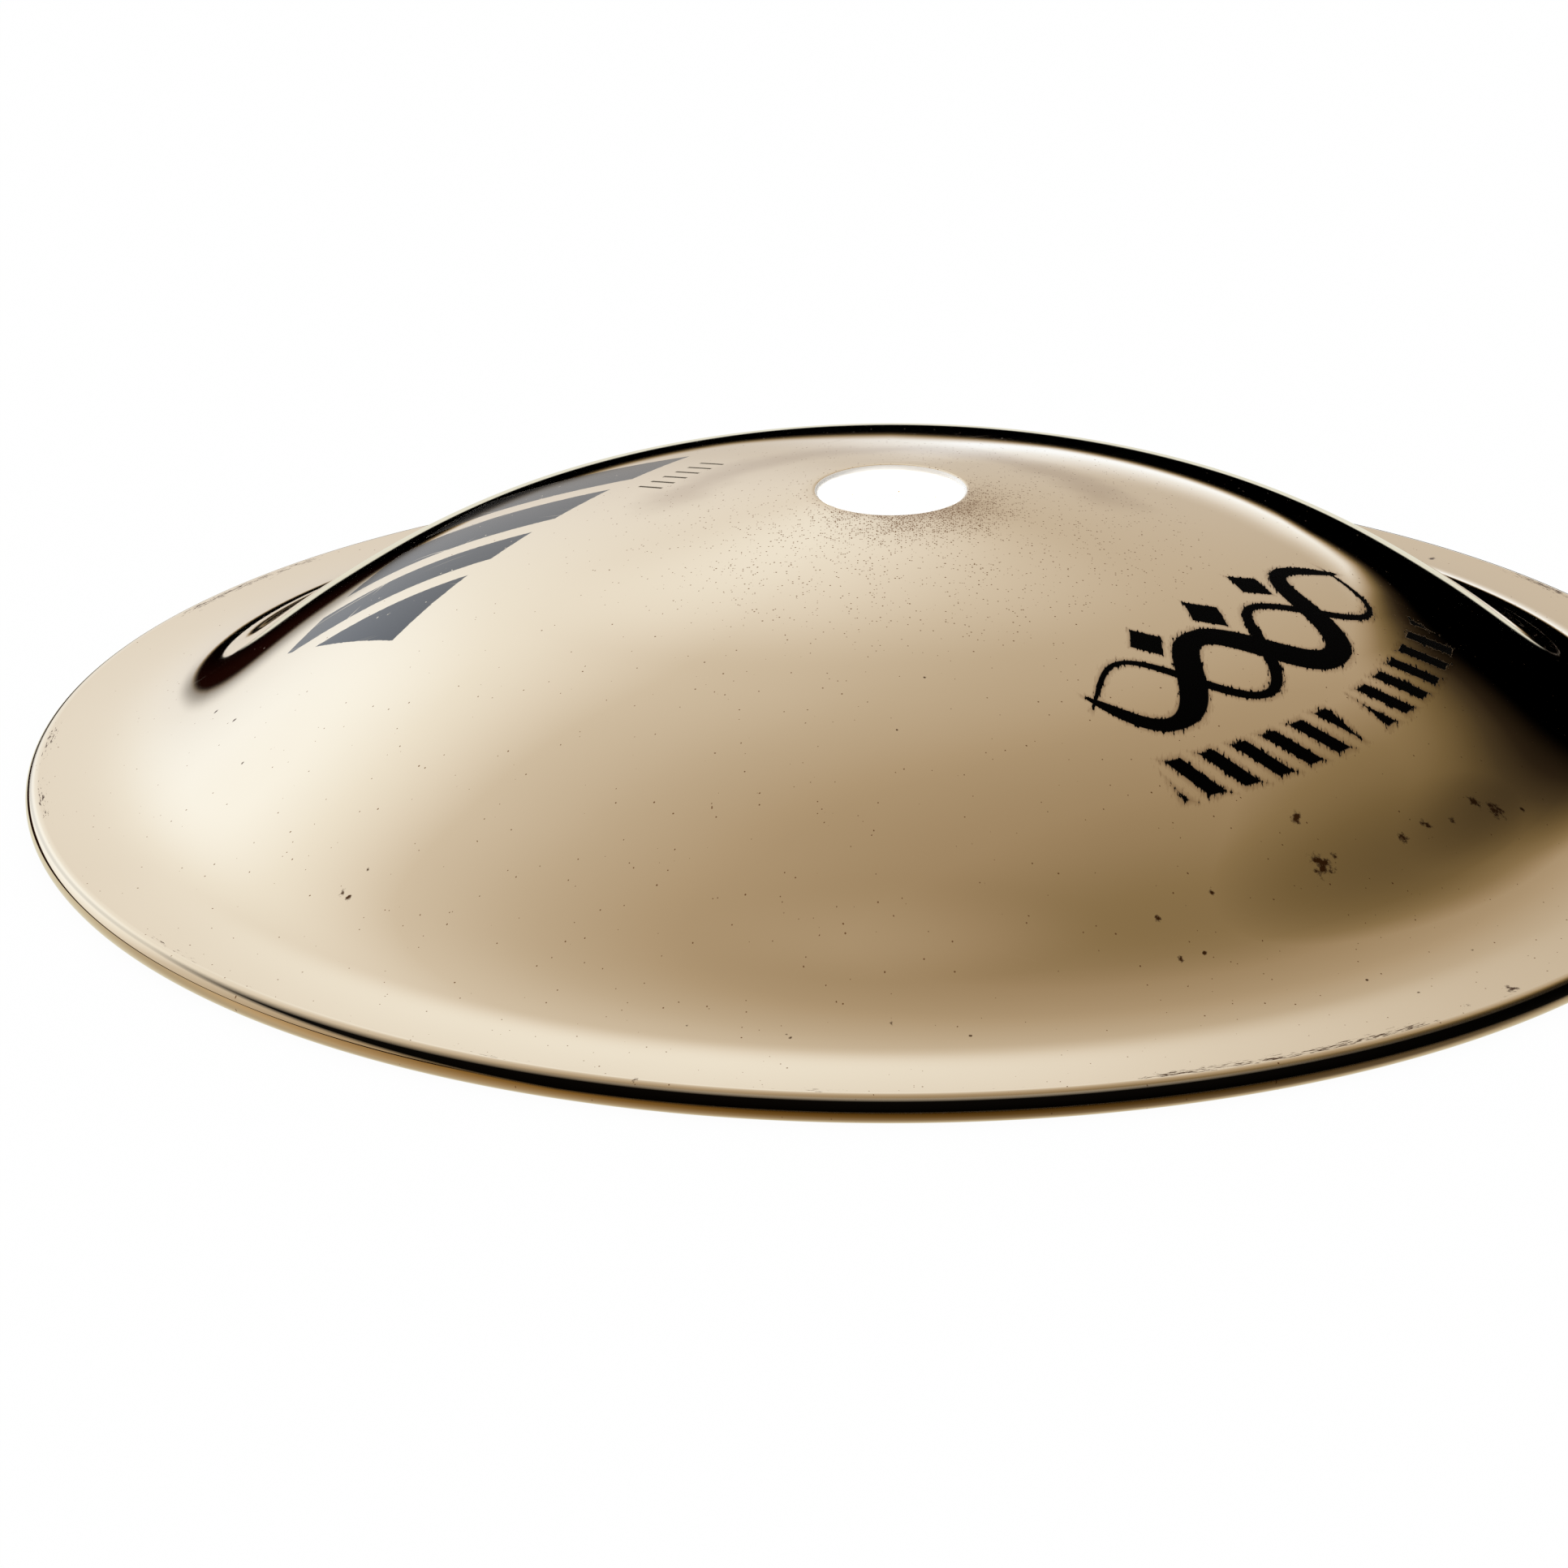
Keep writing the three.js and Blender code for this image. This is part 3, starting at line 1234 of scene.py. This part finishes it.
@dataclass(frozen=True)
class TurnedBronze:
    """The unpolished underside, with the rings of the lathe tool left on it."""

    name: str = "turned_bronze"
    metal: Colour = (0.80, 0.62, 0.38, 1.0)
    darker: Colour = (0.62, 0.44, 0.23, 1.0)

    def build(self, effects: Effects) -> Material:
        """Makes the finish.

        Args:
            effects: The shared node groups.

        Returns:
            The material.
        """
        s = Finish(self.name)
        place = s.put("TexCoord").outputs["Object"]
        rings = s.group(effects.lathe, Place=place, Rings=1500.0).outputs["Height"]
        lines = s.group(effects.hair, Place=place, Amount=0.2).outputs["Lines"]
        cloud = s.noise(place, 70.0, 4.0, 0.6)
        colour = s.mix(s.spread(cloud, 0.3, 0.7), self.metal, self.darker)
        colour = s.mix(s.times(rings, 0.35), colour, self.darker)
        shader = s.put("BsdfPrincipled")
        s.feed(shader.inputs["Metallic"], 1.0)
        s.feed(shader.inputs["Base Color"], colour)
        s.feed(shader.inputs["Roughness"], s.math("MULTIPLY_ADD", cloud, 0.16, 0.2))
        s.feed(shader.inputs["Normal"], s.bump(s.less(rings, s.times(lines, 0.3)), 0.02 * MM))
        return s.done(shader.outputs[0])


@dataclass(frozen=True)
class DrilledBronze:
    """The bright satin wall and lips of the drilled hole."""

    name: str = "drilled_bronze"
    metal: Colour = (0.93, 0.91, 0.87, 1.0)
    metallic: float = 0.5
    roughness: float = 0.42

    def build(self) -> Material:
        """Makes the finish.

        Returns:
            The material.
        """
        s = Finish(self.name)
        shader = s.put("BsdfPrincipled")
        s.feed(shader.inputs["Base Color"], self.metal)
        s.feed(shader.inputs["Metallic"], self.metallic)
        s.feed(shader.inputs["Roughness"], self.roughness)
        return s.done(shader.outputs[0])


@dataclass
class BellCymbal:
    """The one solid piece: bell, flare, brim, rim and hole, spun from its outline."""

    outline: CymbalOutline
    turns: int = 400
    lip_share: float = 1.02

    def build(self) -> bpy.types.Object:
        """Spins the outline into the closed body.

        Returns:
            The body, at the origin.
        """
        row = self.outline.places()
        row.append(row[0])
        bpy.ops.object.select_all(action="DESELECT")
        bpy.ops.mesh.primitive_plane_add(size=MM, location=(0.0, 0.0, 0.0))
        piece = bpy.context.object
        piece.name = "bell_cymbal_body"
        bpy.ops.object.mode_set(mode="EDIT")
        bpy.ops.mesh.select_all(action="SELECT")
        bpy.ops.mesh.merge(type="CENTER")
        bpy.ops.transform.translate(value=(row[0].x, 0.0, row[0].y))
        for before, after in zip(row, row[1:]):
            step = after - before
            bpy.ops.mesh.extrude_vertices_move(TRANSFORM_OT_translate={"value": (step.x, 0.0, step.y)})
        bpy.ops.mesh.select_all(action="SELECT")
        bpy.ops.mesh.spin(steps=self.turns, angle=FULL_TURN, center=(0.0, 0.0, 0.0), axis=(0.0, 0.0, 1.0))
        bpy.ops.mesh.select_all(action="SELECT")
        bpy.ops.mesh.remove_doubles(threshold=0.001 * MM)
        bpy.ops.mesh.select_all(action="SELECT")
        bpy.ops.mesh.normals_make_consistent(inside=False)
        bpy.ops.object.mode_set(mode="OBJECT")
        bpy.ops.object.shade_smooth()
        return piece

    def dress(self, piece: bpy.types.Object, finishes: dict[Zone, Material]) -> None:
        """Gives each zone of the body its finish.

        Args:
            piece: The body.
            finishes: The material of each zone.
        """
        for zone in Zone:
            piece.data.materials.append(finishes[zone])
        middle, _ = self.outline.edge()
        lip = self.outline.hole_radius + self.outline.lip_rounding
        stop = middle.x - self.outline.land_width
        self.give(piece, Zone.TURNED, lip, stop, (-1.0, -0.2))
        self.give(piece, Zone.DRILLED, 0.0, lip * self.lip_share, (-0.2, 0.94))

    @staticmethod
    def give(
        piece: bpy.types.Object, zone: Zone, start: float, stop: float, facing: tuple[float, float]
    ) -> None:
        """Gives one zone's finish to the faces of a ring.

        Args:
            piece: The body.
            zone: The zone.
            start: The ring's inner radius.
            stop: Its outer radius.
            facing: The least and the greatest upward part of the faces' normals.
        """
        bpy.ops.object.mode_set(mode="EDIT")
        bpy.ops.mesh.select_mode(type="FACE")
        bpy.ops.mesh.select_all(action="DESELECT")
        bpy.ops.object.mode_set(mode="OBJECT")
        for face in piece.data.polygons:
            radius = math.hypot(face.center.x, face.center.y)
            face.select = facing[0] < face.normal.z < facing[1] and start < radius < stop
        piece.active_material_index = zone.value
        bpy.ops.object.mode_set(mode="EDIT")
        bpy.ops.object.material_slot_assign()
        bpy.ops.mesh.select_all(action="DESELECT")
        bpy.ops.object.mode_set(mode="OBJECT")

    def place(self, piece: bpy.types.Object) -> None:
        """Ties the body to the frame."""
        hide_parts(CAD_NODE)
        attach(piece, BODY)


def main() -> None:
    """Builds the camera, the studio and the cymbal, and logs the stage parts and the piece's face count."""
    logging.basicConfig(level=logging.INFO, format="%(message)s")
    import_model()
    low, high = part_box(CAD_NODE)
    for part in (ProductCamera(), SoftboxStudio(), PaleFloor(), LightCard()):
        log.info("stage: %s", part.build().name)
    polar = polar_effect()
    effects = Effects(polar, lathe_effect(polar), hairline_effect())
    finishes = {
        Zone.POLISHED: PolishedBronze().build(effects),
        Zone.TURNED: TurnedBronze().build(effects),
        Zone.DRILLED: DrilledBronze().build(),
    }
    cymbal = BellCymbal(CymbalOutline(rim_radius=high.x, bell_height=high.z))
    piece = cymbal.build()
    cymbal.dress(piece, finishes)
    cymbal.place(piece)
    log.info("piece: %s with %d faces", piece.name, len(piece.data.polygons))


if __name__ == "__main__":
    main()
